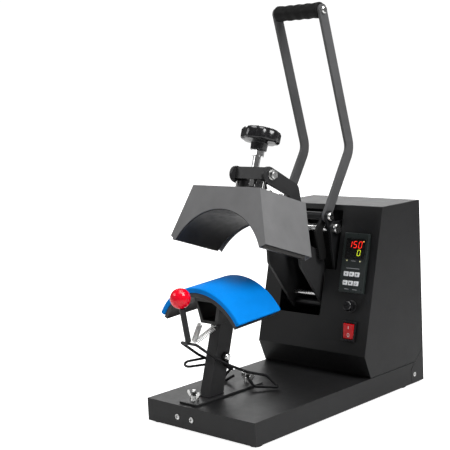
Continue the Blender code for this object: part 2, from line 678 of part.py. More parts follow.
def make_head(body, look):
    mesh = bmesh.new()
    for y in (HEAD_FRONT, HEAD_BACK):
        fill_loops(mesh, [head_face()], lambda x, z, y=y: (x, y, z))
    across = [(-HEAD_HALF_TOP, HEAD_FRONT), (HEAD_HALF_TOP, HEAD_FRONT)]
    across += [(HEAD_HALF_TOP, HEAD_BACK), (-HEAD_HALF_TOP, HEAD_BACK)]
    fill_loops(mesh, [across], lambda x, y: (x, y, HEAD_TOP))
    for sign in (-1.0, 1.0):
        wall = [(0.0, HEAD_FRONT), (1.0, HEAD_FRONT), (1.0, HEAD_BACK), (0.0, HEAD_BACK)]
        spread = HEAD_HALF_LOW - HEAD_HALF_TOP
        drop = HEAD_SIDE_LOW - HEAD_TOP
        fill_loops(
            mesh,
            [wall],
            lambda t, y, sign=sign: (sign * (HEAD_HALF_TOP + spread * t), y, HEAD_TOP + drop * t),
        )
    thicken(add_piece("upper_housing", join_panels(mesh), look["grey"], body, local=True), 1.2)

    centre = (0.0, ARCH_CENTRE)
    arch_angle = 62.5
    inner = arc(centre, HEATER_INNER_RADIUS, 90.0 + arch_angle, 90.0 - arch_angle, 28)
    outer = arc(centre, HEATER_OUTER_RADIUS, 90.0 - 56.0, 90.0 + 56.0, 26)
    flange = [(96.2, -122.0), (96.2, -116.5)]
    outline = inner + flange + outer + [(-x, z) for x, z in reversed(flange)]
    mesh = slab("Y", outline, HEAD_FRONT + 1.7, HEAD_BACK - 11.0)
    add_piece("heater_platen", mesh, look["cast"], body, local=True, smooth=True)
    outline = arch_band(HEATER_OUTER_RADIUS + 0.6, HEATER_OUTER_RADIUS + 9.0, 40.0, 12, centre)
    mesh = slab("Y", outline, HEAD_FRONT + 6.0, HEAD_BACK - 16.0)
    add_piece("heater_insulation", mesh, look["board"], body, local=True)

    low = HEAD_TOP + GAP
    bracket = slab("Z", rounded([(u, v, 4.0) for u, v in rectangle((0.0, 0.0), 72.0, 40.0)], 3), low, low + 3.0)
    bracket = add_piece("float_bracket", bracket, look["powder"], body, local=True)
    pins = []
    for side, x in (("left", -GUIDE_X), ("right", GUIDE_X)):
        profile = [(5.6, low + 1.0), (5.6, -12.5), (3.0, -12.5), (3.0, 3.0)]
        mesh = turned(profile, (x, 0.0, 0.0), (0, 0, 1), 16)
        pins.append(add_piece(f"{side}_guide_pin", mesh, look["zinc"], body, local=True))
    mesh = turned([(10.5, low + 1.0), (10.5, -21.5)], (0.0, 0.0, 0.0), (0, 0, 1), 20)
    pins.append(add_piece("screw_seat", mesh, look["powder"], body, local=True))
    cut(bracket, pins, "UNION")


def make_pressure_screw(body, look):
    profile = [(5.0, -21.0), (6.0, -20.0), (6.0, 29.0), (10.6, 29.0, hexagon), (10.6, 36.8, hexagon)]
    profile += [(7.0, 36.9), (7.0, 37.4)]
    mesh = turned(profile, (0, 0, 0), (0, 0, 1), 24)
    add_piece("pressure_screw", mesh, look["zinc"], body, local=True, smooth=True)
    profile = [(10.5, 37.8), (13.0, 38.2), (13.6, 50.0), (22.0, 51.5), (29.0, 52.0, lobes), (31.6, 54.5, lobes)]
    profile += [(31.8, 67.0, lobes), (29.5, 71.0, lobes), (24.0, 73.2), (9.0, 74.0)]
    mesh = turned(profile, (0, 0, 0), (0, 0, 1), 64)
    add_piece("pressure_knob", mesh, look["plastic"], body, local=True, smooth=True)


# ---------------------------------------------------------------- lower platen and post
def make_lower_platen(body, look):
    pad = slab("Y", arch_band(PAD_INNER_RADIUS, PAD_OUTER_RADIUS, 59.0, 28), -47.7, 47.7)
    add_piece("lower_pad", pad, look["pad"], body, local=True, smooth=True)
    shell = slab("Y", arch_band(CAST_INNER_RADIUS, CAST_OUTER_RADIUS, 60.5, 28), -46.0, 46.0)
    add_piece("lower_platen", shell, look["cast"], body, local=True, smooth=True)
    crown = arc((0.0, 0.0), CAST_INNER_RADIUS - 0.5, 70.0, 110.0, 8)
    outline = [(-18.0, 36.0), (18.0, 36.0), *crown]
    cavity = [(-12.0, 41.0), (12.0, 41.0), (21.0, 70.0), (-21.0, 70.0)]
    hub = slab("Y", outline, -26.0, 26.0, [cavity])
    add_piece("platen_hub", hub, look["cast"], body, local=True)


def make_post(body, look):
    outer = rectangle((PRESS_X, POST_FOOT_Y), 20.0, 31.4)
    inner = rectangle((PRESS_X, POST_FOOT_Y), 16.0, 27.2)
    mesh = slab("Z", outer, POST_LOW, POST_HIGH, [inner])
    for vert in mesh.verts:
        vert.co.y += (vert.co.z - POST_LOW) * tan(radians(POST_LEAN))
    post = add_piece("platen_post", mesh, look["powder"], body)
    bore = turned([(4.3, -15.0), (4.3, 15.0)], (PRESS_X, *CLAMP_PIVOT), (1, 0, 0), 16)
    cut(post, [add_piece("post_bore", bore, look["powder"], body)])
    plate = rounded([(-50.0, 8.0, 3.0), (-12.0, 8.0, 3.0), (-12.0, 158.0, 3.0), (-50.0, 158.0, 3.0)], 3)
    holes = [circle((PRESS_X, y), 3.5, 12) for y in stud_places()]
    mesh = slab("Z", plate, BASE_TOP + 0.3, BASE_TOP + 3.2, holes)
    add_piece("post_foot_plate", mesh, look["powder"], body)
    profile = [(4.0, -19.0), (6.0, -17.4), (6.0, -14.3), (4.0, -14.3), (4.0, 14.3), (6.0, 14.3)]
    profile += [(6.0, 17.4), (4.0, 19.0)]
    mesh = turned(profile, (PRESS_X, *CLAMP_PIVOT), (1, 0, 0), 20)
    add_piece("clamp_pivot_bolt", mesh, look["zinc"], body, smooth=True)
    for side, sign in (("left", -1.0), ("right", 1.0)):
        low = Vector((PRESS_X + sign * 3.0, 29.0, 130.5))
        high = Vector((PRESS_X + sign * 16.0, 60.0, 150.2))
        length = (high - low).length
        profile = [(1.4, 0.0), (4.0, 3.0), (4.0, length - 3.0), (1.4, length)]
        mesh = turned(profile, low, high - low, 14)
        add_piece(f"clamp_spring_{side}", mesh, look["zinc"], body, smooth=True)


def stud_places():
    return (23.0, 143.0)


def make_wing_nuts(look):
    for end, y in zip(("front", "rear"), stud_places()):
        low = BASE_TOP + 3.6
        nut = Body(f"wing_nut_{end}_axis", (PRESS_X, y, low))
        corners = [(-5.0, low), (5.0, low), (8.0, low + 4.0), (13.5, low + 11.0), (12.5, low + 15.0)]
        corners += [(8.5, low + 14.0), (4.0, low + 6.5), (-4.0, low + 6.5), (-8.5, low + 14.0)]
        corners += [(-12.5, low + 15.0), (-13.5, low + 11.0), (-8.0, low + 4.0)]
        outline = [(PRESS_X + u, v) for u, v in corners]
        mesh = slab("Y", outline, y - 1.5, y + 1.5)
        wings = add_piece(f"wing_nut_{end}", mesh, look["zinc"], nut)
        hub = turned([(6.6, low), (5.4, low + 8.0)], (PRESS_X, y, 0.0), (0, 0, 1), 16)
        bore = turned([(3.3, low - 4.0), (3.3, low + 12.0)], (PRESS_X, y, 0.0), (0, 0, 1), 14)
        cut(wings, [add_piece(f"wing_hub_{end}", hub, look["zinc"], nut)], "UNION")
        cut(wings, [add_piece(f"wing_bore_{end}", bore, look["zinc"], nut)])


# ---------------------------------------------------------------- cap clamp
def bent_wire(points, bend):
    """Rounds the corners of a wire's route."""
    path = [Vector(points[0])]
    for before, here, after in zip(points, points[1:], points[2:]):
        here = Vector(here)
        back = (Vector(before) - here).normalized()
        ahead = (Vector(after) - here).normalized()
        for step in range(5):
            t = step / 4
            start = here + back * bend
            end = here + ahead * bend
            path.append(start * (1 - t) ** 2 + here * (2 * t * (1 - t)) + end * t**2)
    path.append(Vector(points[-1]))
    return path


def add_wire(name, path, radius, material, body):
    curve = bpy.data.curves.new(name, "CURVE")
    curve.dimensions = "3D"
    curve.bevel_depth = radius * MM
    curve.bevel_resolution = 2
    curve.use_fill_caps = True
    spline = curve.splines.new("POLY")
    spline.points.add(len(path) - 1)
    for point, place in zip(spline.points, path):
        local = body.inverse @ place
        point.co = (*(local * MM), 1.0)
    curve.materials.append(material)
    item = bpy.data.objects.new(name, curve)
    item.parent = body.empty
    bpy.context.scene.collection.objects.link(item)


def make_clamp(body, look):
    half = [
        (15.5, 127.0, 53.5),
        (31.0, 124.0, 44.0),
        (57.8, 149.9, 41.4),
        (38.0, 145.0, 58.0),
        (CLAMP_SIDE, 125.5, 64.5),
        (CLAMP_SIDE, 86.5, 83.9),
        (CLAMP_SIDE, 52.4, 103.9),
        (CLAMP_SIDE, 17.0, 130.5),
    ]
    right = [(PRESS_X + x, y, z) for x, y, z in half]
    left = [(PRESS_X - x, y, z) for x, y, z in reversed(half)]
    add_wire("clamp_wire", bent_wire(right + left, 4.0), 2.2, look["black"], body)
    lug = capsule(CLAMP_PIVOT, (83.0, 87.0), 7.5, 4.5)
    for side, low, high in mirror_layers((10.6, 13.8)):
        mesh = slab("X", lug, low, high, [circle(CLAMP_PIVOT, 4.3, 14)])
        add_piece(f"clamp_lug_{side}", mesh, look["black"], body)
    foot = Vector((PRESS_X, 16.6, 133.4))
    ball = Vector((PRESS_X, *BALL_CENTRE))
    lead = ball - foot
    length = lead.length - BALL_RADIUS
    mesh = turned([(4.6, 0.0), (4.6, length - 0.4)], foot, lead, 16)
    add_piece("clamp_lever_rod", mesh, look["black"], body, smooth=True)
    mesh = bmesh.new()
    place = Matrix.Translation(ball)
    bmesh.ops.create_uvsphere(mesh, u_segments=24, v_segments=14, radius=BALL_RADIUS, matrix=place)
    add_piece("clamp_ball", mesh, look["red"], body, smooth=True)


# ---------------------------------------------------------------- the press
def build_press():
    clear_scene()
    look = make_materials()
    base = Body("base_frame")
    make_base(base, look)
    make_feet(base, look)
    make_tower(base, look)
    make_rear_panel(base, look)
    make_frame_plates(base, look)
    make_controls(base, look)
    make_moving_controls(look)
    make_post(base, look)
    make_wing_nuts(look)
    make_lower_platen(Body("lower_platen_axis", (PRESS_X, *LOWER_AXIS), LOWER_TILT), look)
    make_arms(Body("arm_axis", (PRESS_X, *ARM_PIVOT)), look)
    make_handle(Body("handle_axis", (PRESS_X, *HANDLE_PIVOT)), look)
    make_links(Body("link_axis", (PRESS_X, *CRANK_PIN)), look)
    head = Body("head_axis", (PRESS_X, *TRUNNION), -HEAD_TILT)
    make_trunnion_block(head, look)
    make_head(head, look)
    make_pressure_screw(head, look)
    make_clamp(Body("clamp_axis", (PRESS_X, *CLAMP_PIVOT)), look)


build_press()
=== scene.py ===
"""The looks of a clamshell cap heat press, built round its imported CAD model.

Lengths are millimetres until a mesh is written. The press frame has x across the press,
y from the base's front edge to its back and z up from the table. The head frame lies on the
trunnion, with z along the pressure screw. The panel frame lies on the tower's slanted front,
with its origin at the fuse holder, x across, y up the slope and z out of it.
"""

import json
from math import atan2, cos, pi, radians, sin

import bmesh
import bpy
from mathutils import Matrix, Vector

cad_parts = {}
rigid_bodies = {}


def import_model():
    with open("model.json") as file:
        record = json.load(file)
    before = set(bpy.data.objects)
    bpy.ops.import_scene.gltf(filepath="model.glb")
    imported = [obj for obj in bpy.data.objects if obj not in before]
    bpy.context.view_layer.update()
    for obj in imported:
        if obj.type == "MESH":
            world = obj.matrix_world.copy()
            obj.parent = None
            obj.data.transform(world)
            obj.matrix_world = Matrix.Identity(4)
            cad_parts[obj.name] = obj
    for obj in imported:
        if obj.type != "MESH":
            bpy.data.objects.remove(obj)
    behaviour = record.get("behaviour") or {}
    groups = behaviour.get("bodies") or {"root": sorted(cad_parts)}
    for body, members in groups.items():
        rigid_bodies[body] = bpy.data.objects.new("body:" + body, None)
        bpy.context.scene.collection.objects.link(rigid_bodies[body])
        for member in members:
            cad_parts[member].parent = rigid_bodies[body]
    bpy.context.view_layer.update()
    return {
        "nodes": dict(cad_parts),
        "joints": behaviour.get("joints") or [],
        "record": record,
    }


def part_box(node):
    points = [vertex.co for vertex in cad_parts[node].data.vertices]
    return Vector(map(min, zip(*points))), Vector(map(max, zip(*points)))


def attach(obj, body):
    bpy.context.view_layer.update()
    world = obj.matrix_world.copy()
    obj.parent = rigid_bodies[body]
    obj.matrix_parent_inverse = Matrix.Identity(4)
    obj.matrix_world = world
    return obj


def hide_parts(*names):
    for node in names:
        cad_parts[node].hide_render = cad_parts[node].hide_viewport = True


for leftover in list(bpy.data.objects):
    bpy.data.objects.remove(leftover, do_unlink=True)
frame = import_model()
MM = 0.001

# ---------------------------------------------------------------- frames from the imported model
JOINTS = {joint["name"]: joint for joint in frame["joints"]}
BODIES = frame["record"]["behaviour"]["bodies"]
BODY_OF = {node: body for body, nodes in BODIES.items() for node in nodes}
KEYS = range(1, 7)


def axes(origin, x, y, z):
    """A frame from its origin and its three unit directions."""
    turn = Matrix((x, y, z)).transposed().to_4x4()
    return Matrix.Translation(origin) @ turn


def middle(node):
    low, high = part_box(node)
    return (low + high) / 2


ACROSS = Vector((1.0, 0.0, 0.0))
TRAY_LOW, TRAY_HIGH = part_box("base_tray")
ORIGIN = Vector(((TRAY_LOW.x + TRAY_HIGH.x) / 2, TRAY_LOW.y, 0.0))
PRESS = Matrix.Translation(ORIGIN)
PRESS_X = (middle("platen_post").x - ORIGIN.x) / MM
TRAY_HALF = (TRAY_HIGH.x - TRAY_LOW.x) / MM / 2

OUTWARD = -Vector(JOINTS["key_1_press"]["axis"]).normalized()
PANEL = axes(Vector(JOINTS["fuse_cap_turn"]["pos_m"]), ACROSS, OUTWARD.cross(ACROSS), OUTWARD)

SCREW_AXIS = Vector(JOINTS["pressure_slide"]["axis"]).normalized()
HEAD = axes(Vector(JOINTS["head_tilt"]["pos_m"]), ACROSS, SCREW_AXIS.cross(ACROSS), SCREW_AXIS)


def press_box(node):
    """A CAD node's box in press millimetres."""
    low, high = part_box(node)
    return (low - ORIGIN) / MM, (high - ORIGIN) / MM


def press_point(node):
    """The middle of a CAD node's box in press millimetres."""
    return (middle(node) - ORIGIN) / MM


def highest(node, place):
    """The top of a CAD node in a frame of this scene, in millimetres."""
    source = frame["nodes"][node]
    into = place.inverted() @ source.matrix_world
    return max((into @ vert.co).z for vert in source.data.vertices) / MM


def centre_in(node, place):
    """The middle of a CAD node's box in a frame of this scene, in millimetres."""
    return place.inverted() @ middle(node) / MM


KNOB_TOP = highest("pressure_knob", HEAD)
HOUSING_TOP = highest("upper_housing", HEAD)
FACE_HEIGHT = highest("controller_case", PANEL)
KEY_HEIGHT = highest("key_1", PANEL)
FUSE_TOP = highest("fuse_cap", PANEL)
REAR_PANEL_INNER = min(vert.co.y for vert in frame["nodes"]["rear_panel"].data.vertices)
SHADE_SHEET_BACK = (REAR_PANEL_INNER - ORIGIN.y) / MM - 0.5
KEYS_TO_MIDDLE = Vector((0.0, 25.45, 0.0))
KEYS_MIDDLE = (centre_in("key_2", PANEL) + centre_in("key_5", PANEL)) / 2
CONTROLLER_MIDDLE = KEYS_MIDDLE + KEYS_TO_MIDDLE


# ---------------------------------------------------------------- node trees
# the colour sockets of a Mix node, which share their names with its other kinds
MIX_FIRST, MIX_SECOND, MIX_RESULT = 6, 7, 2


class Paint:
    """A Principled material with helpers for layering texture nodes onto it."""

    def __init__(self, name, colour, roughness, metallic=0.0):
        self.material = bpy.data.materials.new(name)
        self.material.use_nodes = True
        self.nodes = self.material.node_tree.nodes
        self.links = self.material.node_tree.links
        self.shader = self.nodes["Principled BSDF"]
        self.set("Base Color", (*colour, 1.0))
        self.set("Roughness", roughness)
        self.set("Metallic", metallic)
        self.place = self.nodes.new("ShaderNodeTexCoord").outputs["Object"]

    def set(self, socket, value):
        self.shader.inputs[socket].default_value = value
        return self

    def stretched(self, scale):
        mapping = self.nodes.new("ShaderNodeMapping")
        mapping.inputs["Scale"].default_value = scale
        self.links.new(self.place, mapping.inputs["Vector"])
        return mapping.outputs["Vector"]

    def noise(self, scale, detail=3.0, rough=0.5, vector=None):
        """Noise with this many features to the metre."""
        node = self.nodes.new("ShaderNodeTexNoise")
        node.inputs["Scale"].default_value = scale
        node.inputs["Detail"].default_value = detail
        node.inputs["Roughness"].default_value = rough
        self.links.new(vector or self.place, node.inputs["Vector"])
        return node.outputs["Fac"]

    def cells(self, scale):
        node = self.nodes.new("ShaderNodeTexVoronoi")
        node.inputs["Scale"].default_value = scale
        self.links.new(self.place, node.inputs["Vector"])
        return node.outputs["Distance"]

    def remap(self, value, low, high, start, end):
        node = self.nodes.new("ShaderNodeMapRange")
        node.inputs["From Min"].default_value = low
        node.inputs["From Max"].default_value = high
        node.inputs["To Min"].default_value = start
        node.inputs["To Max"].default_value = end
        self.links.new(value, node.inputs["Value"])
        return node.outputs["Result"]

    def drift(self, value, start=0.0, end=1.0, core=(0.3, 0.7)):
        """Spreads the core of a noise's range over start to end."""
        return self.remap(value, *core, start, end)

    def blend(self, fac, first, second):
        node = self.nodes.new("ShaderNodeMix")
        node.data_type = "RGBA"
        node.inputs[MIX_FIRST].default_value = (*first, 1.0)
        node.inputs[MIX_SECOND].default_value = (*second, 1.0)
        self.links.new(fac, node.inputs["Factor"])
        return node.outputs[MIX_RESULT]

    def tint(self, fac, first, second):
        self.links.new(self.blend(fac, first, second), self.shader.inputs["Base Color"])
        return self

    def gloss(self, value):
        self.links.new(value, self.shader.inputs["Roughness"])
        return self

    def bump(self, height, strength, distance):
        node = self.nodes.new("ShaderNodeBump")
        node.inputs["Strength"].default_value = strength
        node.inputs["Distance"].default_value = distance
        self.links.new(height, node.inputs["Height"])
        normal = self.shader.inputs["Normal"]
        if normal.is_linked:
            self.links.new(normal.links[0].from_socket, node.inputs["Normal"])
        self.links.new(node.outputs["Normal"], normal)
        return self


def shades(colour, spread):
    """A colour made darker and lighter by this share."""
    low = tuple(part * (1.0 - spread) for part in colour)
    high = tuple(min(1.0, part * (1.0 + spread)) for part in colour)
    return low, high


def powder_coat(name, colour, roughness, grain=0.35):
    """Fine orange-peel grain and faint patches of sheen."""
    paint = Paint(name, colour, roughness)
    patches = paint.noise(16.0, 4.0, 0.6)
    paint.tint(paint.drift(patches), *shades(colour, 0.12))
    smudge = paint.noise(70.0, 3.0, 0.6)
    paint.gloss(paint.drift(smudge, roughness - 0.03, roughness + 0.03, (0.25, 0.75)))
    paint.bump(paint.noise(1400.0, 2.0, 0.5), grain, 0.00012)
    paint.bump(paint.noise(260.0, 2.0, 0.5), grain * 0.35, 0.0003)
    paint.set("Specular IOR Level", 0.3)
    return paint.material


def bright_metal(name, colour, roughness, stretch=(1.0, 1.0, 1.0)):
    """Plated steel with fine drawing lines and dull spots."""
    paint = Paint(name, colour, roughness, 1.0)
    lines = paint.noise(900.0, 3.0, 0.6, paint.stretched(stretch))
    dull = paint.noise(150.0, 4.0, 0.65)
    worn = tuple(part * 0.72 for part in colour)
    paint.tint(paint.drift(dull, core=(0.35, 0.75)), colour, worn)
    paint.gloss(paint.drift(lines, roughness * 0.65, roughness * 1.6))
    paint.bump(lines, 0.12, 0.00005)
    return paint.material


def moulded(name, colour, roughness, grain=0.18, coat=0.0):
    """Moulded plastic: fine sparkle grain and faint flow marks."""
    paint = Paint(name, colour, roughness)
    flow = paint.noise(45.0, 3.0, 0.55)
    paint.tint(paint.drift(flow), *shades(colour, 0.1))
    paint.gloss(paint.drift(paint.noise(220.0, 3.0, 0.6), roughness * 0.8, roughness * 1.25))
    paint.bump(paint.noise(1800.0, 2.0, 0.5), grain, 0.00008)
    paint.set("Coat Weight", coat)
    paint.set("Coat Roughness", 0.08)
    return paint.material


def coated_casting(name, colour, roughness):
    """Black non-stick coating over cast aluminium: soft satin with a cast skin below."""
    paint = Paint(name, colour, roughness)
    patches = paint.noise(30.0, 4.0, 0.6)
    paint.tint(paint.drift(patches), *shades(colour, 0.22))
    paint.gloss(paint.drift(paint.noise(90.0, 4.0, 0.6), roughness - 0.08, roughness + 0.1))
    paint.bump(paint.noise(700.0, 4.0, 0.6), 0.3, 0.0002)
    return paint.material


def foam_rubber(name, colour):
    """Silicone sponge: dense pores, a matt skin and slow colour drift."""
    paint = Paint(name, colour, 0.62)
    paint.tint(paint.drift(paint.noise(22.0, 3.0, 0.5)), *shades(colour, 0.07))
    pores = paint.cells(620.0)
    paint.gloss(paint.drift(paint.noise(400.0, 3.0, 0.6), 0.52, 0.74))
    paint.bump(pores, 0.32, 0.00035)
    paint.bump(paint.noise(120.0, 3.0, 0.5), 0.12, 0.0006)
    paint.set("Specular IOR Level", 0.06)
    return paint.material


def soft_rubber(name, colour, roughness):
    paint = Paint(name, colour, roughness)
    paint.tint(paint.drift(paint.noise(60.0, 4.0, 0.6)), *shades(colour, 0.2))
    paint.gloss(paint.drift(paint.noise(180.0, 3.0, 0.6), roughness - 0.1, roughness + 0.1))
    paint.bump(paint.cells(900.0), 0.22, 0.0002)
    paint.set("Specular IOR Level", 0.2)
    return paint.material


def lacquer(name, colour):
    """Glossy moulding: deep colour with a clear skin and a faint ripple."""
    paint = Paint(name, colour, 0.18)
    paint.tint(paint.drift(paint.noise(50.0, 2.0, 0.5), core=(0.35, 0.65)), *shades(colour, 0.08))
    paint.gloss(paint.drift(paint.noise(300.0, 3.0, 0.6), 0.12, 0.24))
    paint.bump(paint.noise(90.0, 2.0, 0.5), 0.04, 0.0004)
    paint.set("Specular IOR Level", 0.3)
    paint.set("Coat Weight", 0.3)
    paint.set("Coat Roughness", 0.03)
    return paint.material


def lit(name, colour, strength):
    """A lit digit or lamp behind tinted plastic, a little uneven."""
    paint = Paint(name, colour, 0.35)
    level = paint.noise(800.0, 2.0, 0.5)
    glow = paint.blend(paint.drift(level), *shades(colour, 0.12))
    paint.links.new(glow, paint.shader.inputs["Emission Color"])
    paint.links.new(glow, paint.shader.inputs["Base Color"])
    paint.set("Emission Strength", strength)
    return paint.material


LOOK = {
    "powder": powder_coat("powder_black", (0.010, 0.010, 0.0105), 0.46),
    "powder_arm": powder_coat("powder_arm", (0.027, 0.027, 0.028), 0.45),
    "grey": powder_coat("powder_grey", (0.16, 0.16, 0.162), 0.5, 0.4),
    "bar": powder_coat("powder_bar", (0.085, 0.085, 0.087), 0.48, 0.4),
    "black": powder_coat("paint_black", (0.011, 0.011, 0.012), 0.36, 0.25),
    "link": powder_coat("paint_link", (0.005, 0.005, 0.005), 0.6, 0.25),
    "cast": coated_casting("casting_black", (0.012, 0.012, 0.012), 0.42),
    "heater": coated_casting("heater_coating", (0.018, 0.017, 0.016), 0.38),
    "zinc": bright_metal("zinc_plate", (0.80, 0.80, 0.79), 0.2),
    "screw": bright_metal("screw_nickel", (0.92, 0.92, 0.91), 0.38),
    "chrome": bright_metal("screw_chrome", (0.86, 0.86, 0.86), 0.13, (1.0, 1.0, 9.0)),
    "pad": foam_rubber("pad_silicone", (0.0, 0.225, 0.74)),
    "red": lacquer("ball_red", (0.86, 0.0, 0.018)),
    "switch": moulded("rocker_red", (0.60, 0.0, 0.004), 0.2, 0.06),
    "plastic": moulded("plastic_black", (0.010, 0.010, 0.011), 0.3),
    "knob": moulded("knob_black", (0.009, 0.009, 0.010), 0.22, 0.1, 0.3),
    "face": moulded("controller_face", (0.016, 0.021, 0.020), 0.32, 0.1),
    # the display window's near-black, also used as painted shade in the screw recesses and the fuse
    # cap's slot
    "window": moulded("display_window", (0.003, 0.003, 0.003), 0.25, 0.02),
    "rubber": soft_rubber("grip_rubber", (0.005, 0.005, 0.005), 0.6),
    # dark rubber of the feet, also used for the sheets of painted shade behind the vents and in the
    # rear corners
    "foot": soft_rubber("foot_rubber", (0.018, 0.018, 0.018), 0.75),
    "key": moulded("key_white", (0.78, 0.79, 0.80), 0.42),
    "mark": moulded("key_mark", (0.05, 0.06, 0.08), 0.5),
    "mark_pale": moulded("printed_legend", (0.35, 0.36, 0.37), 0.5),
    "board": soft_rubber("insulation_fibre", (0.50, 0.46, 0.38), 0.88),
    "digit_red": lit("digits_red", (0.95, 0.02, 0.01), 1.3),
    "digit_green": lit("digits_green", (0.55, 0.66, 0.02), 1.0),
    "lamp": lit("lamp_amber", (0.62, 0.60, 0.30), 0.3),
    "lamp_top": lit("lamp_orange", (0.9, 0.35, 0.08), 1.0),
}


# ---------------------------------------------------------------- outlines and solids
# smoothing angles in degrees: an edge sharper than this stays an edge
SHEET, CAST, SHAFT, WING, KEYCAP = 32.0, 40.0, 25.0, 30.0, 50.0
BEVEL_SEGMENTS = 3
PAD_SEGMENTS = 5
MERGE_DISTANCE = 0.000002  # metres
FLAT_ANGLE = 0.6  # degrees, under which two CAD facets are one face


def arc(centre, radius, start, end, steps):
    """Points on an arc from one angle to another, in degrees."""
    points = []
    for step in range(steps + 1):
        angle = radians(start + (end - start) * step / steps)
        points.append((centre[0] + radius * cos(angle), centre[1] + radius * sin(angle)))
    return points


def circle(centre, radius, steps):
    return arc(centre, radius, 0.0, 360.0, steps)[:-1]


def rectangle(centre, width, height):
    u, v = centre
    w, h = width / 2, height / 2
    return [(u - w, v - h), (u + w, v - h), (u + w, v + h), (u - w, v + h)]


def soft_rectangle(centre, width, height, radius, steps=4):
    """A rectangle with rounded corners."""
    u, v = centre
    w, h = width / 2 - radius, height / 2 - radius
    points = []
    for corner, (su, sv) in enumerate(((1, 1), (-1, 1), (-1, -1), (1, -1))):
        start = corner * 90.0
        points += arc((u + su * w, v + sv * h), radius, start, start + 90.0, steps)
    return points


def loft(rings, closed=False):
    """A skin over a row of rings, capped at both ends unless it closes on itself."""
    mesh = bmesh.new()
    rows = [[mesh.verts.new(point) for point in ring] for ring in rings]
    count = len(rows[0])
    pairs = list(zip(rows, rows[1:]))
    if closed:
        pairs.append((rows[-1], rows[0]))
    for row, following in pairs:
        for index in range(count):
            after = (index + 1) % count
            mesh.faces.new((row[index], row[after], following[after], following[index]))
    if not closed:
        mesh.faces.new(rows[0][::-1])
        mesh.faces.new(rows[-1])
    return mesh


def prism(outline, low, high):
    """A flat plate in the frame's x and y, from one height to another."""
    return loft([[(u, v, low) for u, v in outline], [(u, v, high) for u, v in outline]])


def upright(outline, first, second):
    """An upright plate given by its outline in x and z, from one y to another."""
    return loft([[(x, first, z) for x, z in outline], [(x, second, z) for x, z in outline]])


def flat_ring(outer, inner, low, high):
    """A flat ring between two outlines with the same number of points."""
    levels = ((outer, low), (outer, high), (inner, high), (inner, low))
    return loft([[(u, v, level) for u, v in outline] for outline, level in levels], closed=True)


def hexagon(angle):
    """A hexagon's reach at this angle, as a share of the reach to its corners."""
    return cos(pi / 6) / cos(angle % (pi / 3) - pi / 6)


def square_to(direction, usual, instead):
    """A unit axis with two unit vectors square to it, the first near one of the given two."""
    axis = Vector(direction).normalized()
    side = Vector(usual)
    if abs(axis.dot(side)) > 0.9:
        side = Vector(instead)
    side = (side - axis * side.dot(axis)).normalized()
    return axis, side, axis.cross(side)


def turned_rings(profile, origin, direction, steps):
    axis, side, other = square_to(direction, (1.0, 0.0, 0.0), (0.0, 1.0, 0.0))
    rings = []
    for radius, distance, *form in profile:
        ring = []
        for step in range(steps):
            angle = 2 * pi * step / steps
            reach = radius * (form[0](angle) if form else 1.0)
            spoke = (side * cos(angle) + other * sin(angle)) * reach
            ring.append(Vector(origin) + axis * distance + spoke)
        rings.append(ring)
    return rings


def turned(profile, origin=(0, 0, 0), direction=(0, 0, 1), steps=32):
    """A turned solid from (radius, distance, optional shape) entries."""
    return loft(turned_rings(profile, origin, direction, steps))


def inner_tube(profile, bore, origin, direction, steps):
    """A turned solid with a plain bore through it."""
    bored = list(profile) + [(bore, profile[-1][1]), (bore, profile[0][1])]
    return loft(turned_rings(bored, origin, direction, steps), closed=True)


def merge(*meshes):
    """Several closed shells in one mesh."""
    whole = bmesh.new()
    for mesh in meshes:
        data = bpy.data.meshes.new("part")
        mesh.to_mesh(data)
        mesh.free()
        whole.from_mesh(data)
        bpy.data.meshes.remove(data)
    return whole


# ---------------------------------------------------------------- pieces of the visual model
def finish_mesh(item, look, bevel, smooth):
    """Gives a piece its look, smooth shading and, with a bevel in millimetres, round edges."""
    item.data.materials.clear()
    item.data.materials.append(LOOK[look])
    item.data.shade_smooth()
    item.data.set_sharp_from_angle(angle=radians(smooth))
    if bevel:
        edge = item.modifiers.new("edges", "BEVEL")
        edge.width = bevel * MM
        edge.segments = BEVEL_SEGMENTS
        edge.limit_method = "ANGLE"
        edge.angle_limit = radians(smooth)
        edge.harden_normals = True
        edge.miter_outer = "MITER_ARC"


def place_object(name, data, body):
    """Puts mesh or curve data in the scene as a piece that rides on a CAD body."""
    item = bpy.data.objects.new(name, data)
    bpy.context.scene.collection.objects.link(item)
    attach(item, body)
    return item


def add_piece(name, mesh, look, body, place=PRESS, bevel=0.0):
    """Adds a closed millimetre mesh, given in one of the frames above."""
    mesh.transform(place @ Matrix.Scale(MM, 4))
    bmesh.ops.recalc_face_normals(mesh, faces=mesh.faces)
    data = bpy.data.meshes.new(name)
    mesh.to_mesh(data)
    mesh.free()
    item = place_object(name, data, body)
    finish_mesh(item, look, bevel, SHEET)
    return item


def add_wire(name, points, radius, look, body):
    """Adds a round wire through points in press millimetres."""
    curve = bpy.data.curves.new(name, "CURVE")
    curve.dimensions = "3D"
    curve.bevel_depth = radius * MM
    curve.bevel_resolution = 4
    curve.use_fill_caps = True
    spline = curve.splines.new("POLY")
    spline.points.add(len(points) - 1)
    for target, point in zip(spline.points, points):
        target.co = (*(PRESS @ (Vector(point) * MM)), 1.0)
    spline.use_smooth = True
    curve.materials.append(LOOK[look])
    return place_object(name, curve, body)


def soften(node, look, bevel, smooth=SHEET):
    """Stands for a CAD node with the same shape, its edges rounded over."""
    mesh = bmesh.new()
    mesh.from_mesh(frame["nodes"][node].data)
    bmesh.ops.remove_doubles(mesh, verts=mesh.verts, dist=MERGE_DISTANCE)
    flat = radians(FLAT_ANGLE)
    bmesh.ops.dissolve_limit(mesh, angle_limit=flat, verts=mesh.verts, edges=mesh.edges)
    data = bpy.data.meshes.new(f"{node}_finished")
    mesh.to_mesh(data)
    mesh.free()
    item = place_object(f"{node}_finished", data, BODY_OF[node])
    finish_mesh(item, look, bevel, smooth)
    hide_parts(node)
    return item


